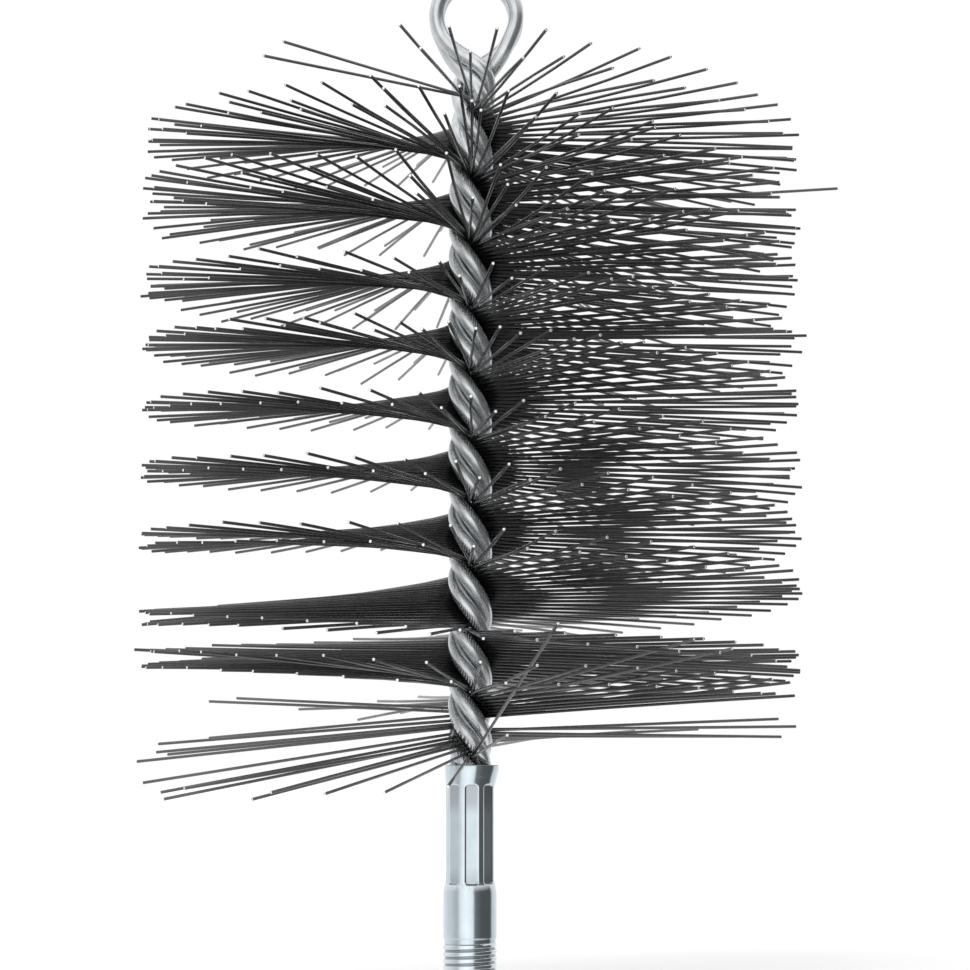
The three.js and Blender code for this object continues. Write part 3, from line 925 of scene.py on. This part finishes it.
def thread_build(settings, start):
    """The external thread: one pitch of its outline wound up, then trimmed at both ends."""
    pitch = settings.thread_pitch
    shape = [*THREAD_VALLEY, *((1 - part, deep) for part, deep in THREAD_VALLEY[-3::-1])]
    outline = [(THREAD_RADIUS - THREAD_DEPTH * deep, (part - 2) * pitch) for part, deep in shape]
    build = spun(outline, settings.columns, start, pitch)
    painted_darkening_layer = build.verts.layers.float.new("painted_darkening")
    single_turn = build.verts[:] + build.edges[:] + build.faces[:]
    for turn in range(1, math.ceil(THREAD_TOP / pitch) + 3):
        copied = bmesh.ops.duplicate(build, geom=single_turn)["geom"]
        moved = [item for item in copied if isinstance(item, bmesh.types.BMVert)]
        bmesh.ops.translate(build, verts=moved, vec=(0, 0, turn * pitch))
    bmesh.ops.remove_doubles(build, verts=build.verts, dist=MERGE)
    fade_from, fade_to = (THREAD_TOP - share * pitch for share in THREAD_FADE)
    for vert in build.verts:
        radius = math.hypot(vert.co.x, vert.co.y)
        chamfer = THREAD_RADIUS - CHAMFER_DEPTH + CHAMFER_SLOPE * max(vert.co.z, 0)
        fade = 1 - smoothstep(vert.co.z, fade_from, fade_to)
        blank = mix(THREAD_BLANK_RADIUS, THREAD_RADIUS, fade)
        kept = min(blank - (THREAD_RADIUS - radius) * fade, chamfer)
        # painted shade: the thread's valleys are painted darker by their depth
        vert[painted_darkening_layer] = fade * (THREAD_RADIUS - radius) / THREAD_DEPTH
        vert.co.xy *= kept / radius
    for height, upward in ((0, False), (THREAD_TOP - SEAM, True)):
        bmesh.ops.bisect_plane(
            build,
            geom=build.verts[:] + build.edges[:] + build.faces[:],
            dist=MERGE / 4,
            plane_co=(0, 0, height),
            plane_no=(0, 0, 1),
            clear_outer=upward,
            clear_inner=not upward,
        )
    return build


def ferrule_build(settings):
    columns = settings.columns
    start = -math.pi / 2 + settings.pocket_turn
    build = spun(ferrule_outline(settings), columns, start)
    build.verts.layers.float.new("painted_darkening")
    press_pockets(build, settings)
    bend_mouth(build, settings)
    thread = thread_build(settings, start)
    holder = bpy.data.meshes.new("thread_holder")
    thread.to_mesh(holder)
    thread.free()
    build.from_mesh(holder)
    bpy.data.meshes.remove(holder)
    bmesh.ops.remove_doubles(build, verts=build.verts, dist=2 * MERGE)
    rim = [edge for edge in build.edges if edge.is_boundary and abs(edge.verts[0].co.z) < SEAM]
    bmesh.ops.holes_fill(build, edges=rim, sides=0)
    bmesh.ops.recalc_face_normals(build, faces=build.faces)
    mark_edges(build)
    for face in build.faces:
        face.smooth = len(face.verts) <= 4
    return build


def mark_edges(build):
    """Marks vertices on outer corners, where the plating is rubbed bright."""
    layer = build.verts.layers.float.new("corner")
    for edge in build.edges:
        if len(edge.link_faces) == 2:
            bent = edge.calc_face_angle_signed(0)
            if bent > LEAST_CORNER:
                for vert in edge.verts:
                    vert[layer] = max(vert[layer], min(1, bent / FULL_CORNER))


def zinc_material(settings):
    material, tree, shader = new_material("zinc_plating", 1.0)
    place = add_node(tree, "ShaderNodeTexCoord").outputs["Object"]
    streaks = add_group(
        tree,
        "drawn_streaks",
        {"Vector": place, "Stretch": (1, 1, 0.12), "Scale": 900.0, "Band Scale": 260.0},
    )
    clouds = add_group(tree, "plating_clouds", {"Vector": place, "Scale": 150.0})
    dull = weighed(tree, streaks.outputs["Streaks"], 0.5, clouds.outputs["Clouds"], 0.5)
    plating = blended(tree, dull, opaque(settings.zinc_colour), opaque(settings.dull_colour))
    # the pockets painted darker: a painted reflection of the bristles at their upper ends
    pocket_darkening = mapped(tree, attribute(tree, "pocket_darkening"), 0, 1, 0, POCKET_DARKENING_COVER)
    plating = blended(tree, pocket_darkening, plating, opaque(settings.pocket_darkening_colour))
    lightened = blended(tree, attribute(tree, "corner"), plating, opaque(settings.rubbed_colour))
    # painted shade in the thread valleys and a painted reflection of the bristles on the lip
    darkening = mapped(tree, attribute(tree, "painted_darkening"), DARKENING_FROM, 1, 0, DARKENING_COVER)
    base = blended(tree, darkening, lightened, opaque(settings.darkening_colour))
    tree.links.new(base, shader.inputs["Base Color"])
    tree.links.new(mapped(tree, dull, 0, 1, *ZINC_ROUGHNESS), shader.inputs["Roughness"])
    add_bump(tree, shader, streaks.outputs["Height"], 0.12, 0.00008)
    return material


# Stage

# What polished metal mirrors: direction in degrees, from the camera's side of the stem and
# positive to the right, and the brightness there
STUDIO = (
    (-180, 1), (-135, 0.95), (-88, 0.76), (-60, 0.55), (-52, 0.62), (-42, 1), (-15, 1.25),
    (-2, 1.15), (13, 1), (18, 0.5), (23, 0.2), (50, 0.11), (92, 0.1), (101, 0.16), (108, 0.7),
    (122, 0.8), (180, 1.1),
)
OVERHEAD_LEVEL = 1.1
BELOW_LEVEL = 1.0
BACKDROP_LEVEL = 1.02


def studio_level(tree, turned):
    """Brightness of the studio round the object, as a sum of ramps over its directions."""
    total = STUDIO[0][1]
    for (low, first), (high, second) in zip(STUDIO, STUDIO[1:]):
        if first != second:
            ramp = mapped(tree, turned, math.radians(low), math.radians(high), 0, second - first)
            total = add_math(tree, "ADD", ramp, total)
    return total


def paint_world(settings):
    """White for the camera, an even sky for matt surfaces, a studio for polished ones to mirror."""
    world = bpy.data.worlds.new("studio")
    bpy.context.scene.world = world
    world.use_nodes = True
    tree = world.node_tree
    tree.nodes.clear()
    direction = add_node(tree, "ShaderNodeTexCoord").outputs["Generated"]
    parts = add_node(tree, "ShaderNodeSeparateXYZ", {"Vector": direction})
    forwards = add_math(tree, "MULTIPLY", parts.outputs["Y"], -1)
    turned = add_math(tree, "ARCTAN2", parts.outputs["X"], forwards)
    overhead = mapped(tree, parts.outputs["Z"], 0.25, 0.7, 0, 1)
    below = mapped(tree, parts.outputs["Z"], -0.4, -0.7, 0, 1)
    level = studio_level(tree, turned)
    for part, other in ((overhead, OVERHEAD_LEVEL), (below, BELOW_LEVEL)):
        level = add_node(tree, "ShaderNodeMix", {0: part, 2: level, 3: other}).outputs[0]
    path = add_node(tree, "ShaderNodeLightPath")
    diffuse = settings.sky_strength
    extra = add_math(tree, "SUBTRACT", level, diffuse)
    seen = add_math(tree, "MULTIPLY", path.outputs["Is Glossy Ray"], extra)
    camera = add_math(tree, "MULTIPLY", path.outputs["Is Camera Ray"], BACKDROP_LEVEL - diffuse)
    total = add_math(tree, "ADD", add_math(tree, "ADD", seen, camera), diffuse)
    background = add_node(tree, "ShaderNodeBackground", {"Color": (1, 1, 1, 1), "Strength": total})
    output = add_node(tree, "ShaderNodeOutputWorld")
    tree.links.new(background.outputs[0], output.inputs["Surface"])


def add_sun(name, toward, strength, wide):
    """A wide, even light that falls from a direction and isn't mirrored itself."""
    lamp = bpy.data.lights.new(name, "SUN")
    lamp.energy = strength
    lamp.angle = wide
    holder = bpy.data.objects.new(name, lamp)
    bpy.context.scene.collection.objects.link(holder)
    holder.rotation_euler = Vector(toward).to_track_quat("Z", "Y").to_euler()
    holder.visible_glossy = False
    return holder


def add_floor(settings):
    build = bmesh.new()
    bmesh.ops.create_circle(build, cap_ends=True, radius=settings.floor_radius, segments=96)
    mesh = bpy.data.meshes.new("floor")
    build.to_mesh(mesh)
    build.free()
    floor = bpy.data.objects.new("floor", mesh)
    bpy.context.scene.collection.objects.link(floor)
    floor.visible_glossy = False
    material, tree, shader = new_material("pale_floor", 0.0)
    shader.inputs["Roughness"].default_value = 0.9
    shader.inputs["Specular IOR Level"].default_value = 0.0
    place = add_node(tree, "ShaderNodeTexCoord").outputs["Object"]
    clouds = add_group(tree, "plating_clouds", {"Vector": place, "Scale": 3.0})
    near = tuple(value * 0.99 for value in settings.floor_colour)
    base = blended(tree, clouds.outputs["Clouds"], opaque(settings.floor_colour), opaque(near))
    tree.links.new(base, shader.inputs["Base Color"])
    path = add_node(tree, "ShaderNodeLightPath")
    lift = add_math(tree, "MULTIPLY", path.outputs["Is Camera Ray"], settings.floor_lift)
    tree.links.new(lift, shader.inputs["Emission Strength"])
    shader.inputs["Emission Color"].default_value = (1, 1, 1, 1)
    mesh.materials.append(material)
    return floor


def add_camera(settings):
    camera = bpy.data.cameras.new("camera")
    camera.lens = settings.lens
    camera.sensor_width = 36
    camera.clip_start, camera.clip_end = 0.01, 500
    holder = bpy.data.objects.new("camera", camera)
    bpy.context.scene.collection.objects.link(holder)
    holder.location = (settings.camera_offset, -settings.camera_distance, settings.camera_height)
    holder.rotation_euler = (math.pi / 2 + settings.camera_pitch, 0, 0)
    bpy.context.scene.camera = holder


# Operators


class CHIMNEYBRUSH_OT_stem_wires(bpy.types.Operator):
    """Build the two folded stem wires with their pull loop"""

    bl_idname = "chimney_brush.stem_wires"
    bl_label = "Stem Wires"

    def execute(self, context):
        settings = context.scene.chimney_brush.stem
        material = wire_material(settings)
        for node, side in (("stem_wire_front", -1), ("stem_wire_rear", 1)):
            points = folded_wire_points(side, settings.step_length)
            build = wire_mesh(points, settings.wire_diameter / 2, settings.sides)
            piece = finished_piece("visual_" + node, build, "stem_wire", node)
            piece.data.materials.append(material)
        return {"FINISHED"}


class CHIMNEYBRUSH_OT_bristles(bpy.types.Operator):
    """Build the four stretches of spring steel bristles"""

    bl_idname = "chimney_brush.bristles"
    bl_label = "Bristles"

    def execute(self, context):
        settings = context.scene.chimney_brush.bristles
        material = bristle_material(settings)
        template = bristle_template(settings.diameter / 2)
        chance = random.Random(settings.seed)
        names = ("bristles_bottom", "bristles_lower", "bristles_upper", "bristles_top")
        stretch = (BRISTLE_TOP - BRISTLE_FOOT) / len(names)
        for i, node in enumerate(names):
            low = BRISTLE_FOOT + i * stretch
            high = low + stretch
            limits = (low if i else RIM_HEIGHT, high if i < len(names) - 1 else CROSSING_HEIGHT)
            build = bristles_between(low, high, limits, template, settings, chance)
            piece = finished_piece("visual_" + node, build, "spring_steel", node)
            piece.data.materials.append(material)
        template.free()
        return {"FINISHED"}


class CHIMNEYBRUSH_OT_ferrule(bpy.types.Operator):
    """Build the crimped ferrule with its external thread"""

    bl_idname = "chimney_brush.ferrule"
    bl_label = "Ferrule"

    def execute(self, context):
        settings = context.scene.chimney_brush.ferrule
        piece = finished_piece("visual_ferrule", ferrule_build(settings), "zinc_steel", "ferrule")
        piece.data.materials.append(zinc_material(settings))
        piece.data.set_sharp_from_angle(angle=SHARP_EDGE)
        return {"FINISHED"}


class CHIMNEYBRUSH_OT_stage(bpy.types.Operator):
    """Set up the floor, the lights and the camera"""

    bl_idname = "chimney_brush.stage"
    bl_label = "Stage"

    def execute(self, context):
        settings = context.scene.chimney_brush.stage
        context.scene.view_settings.view_transform = "Standard"
        paint_world(settings)
        add_floor(settings)
        add_camera(settings)
        add_sun("key", (-0.8, -1, 1.2), settings.key_strength, math.radians(40))
        add_sun("fill", (1, -0.9, 0.6), settings.fill_strength, math.radians(60))
        add_sun("back", (-0.3, 1, 0.9), settings.fill_strength, math.radians(60))
        return {"FINISHED"}


OPERATORS = (
    CHIMNEYBRUSH_OT_stem_wires,
    CHIMNEYBRUSH_OT_bristles,
    CHIMNEYBRUSH_OT_ferrule,
    CHIMNEYBRUSH_OT_stage,
)


class CHIMNEYBRUSH_PT_panel(bpy.types.Panel):
    """Lists the pieces of the brush"""

    bl_idname = "CHIMNEYBRUSH_PT_panel"
    bl_label = "Chimney Sweep Brush"
    bl_space_type = "VIEW_3D"
    bl_region_type = "UI"
    bl_category = "Brush"

    def draw(self, context):
        settings = context.scene.chimney_brush
        for group in (settings.stem, settings.bristles, settings.ferrule, settings.stage):
            box = self.layout.box()
            for name in group.__annotations__:
                box.prop(group, name)
        for operator in OPERATORS:
            self.layout.operator(operator.bl_idname)


CLASSES = (
    StemSettings,
    BristleSettings,
    FerruleSettings,
    StageSettings,
    ChimneyBrushSettings,
    *OPERATORS,
    CHIMNEYBRUSH_PT_panel,
)


def register():
    for item in CLASSES:
        bpy.utils.register_class(item)
    bpy.types.Scene.chimney_brush = bpy.props.PointerProperty(type=ChimneyBrushSettings)


def unregister():
    del bpy.types.Scene.chimney_brush
    for item in reversed(CLASSES):
        bpy.utils.unregister_class(item)


def main():
    register()
    bpy.ops.chimney_brush.stem_wires()
    bpy.ops.chimney_brush.bristles()
    bpy.ops.chimney_brush.ferrule()
    bpy.ops.chimney_brush.stage()


if __name__ == "__main__":
    main()
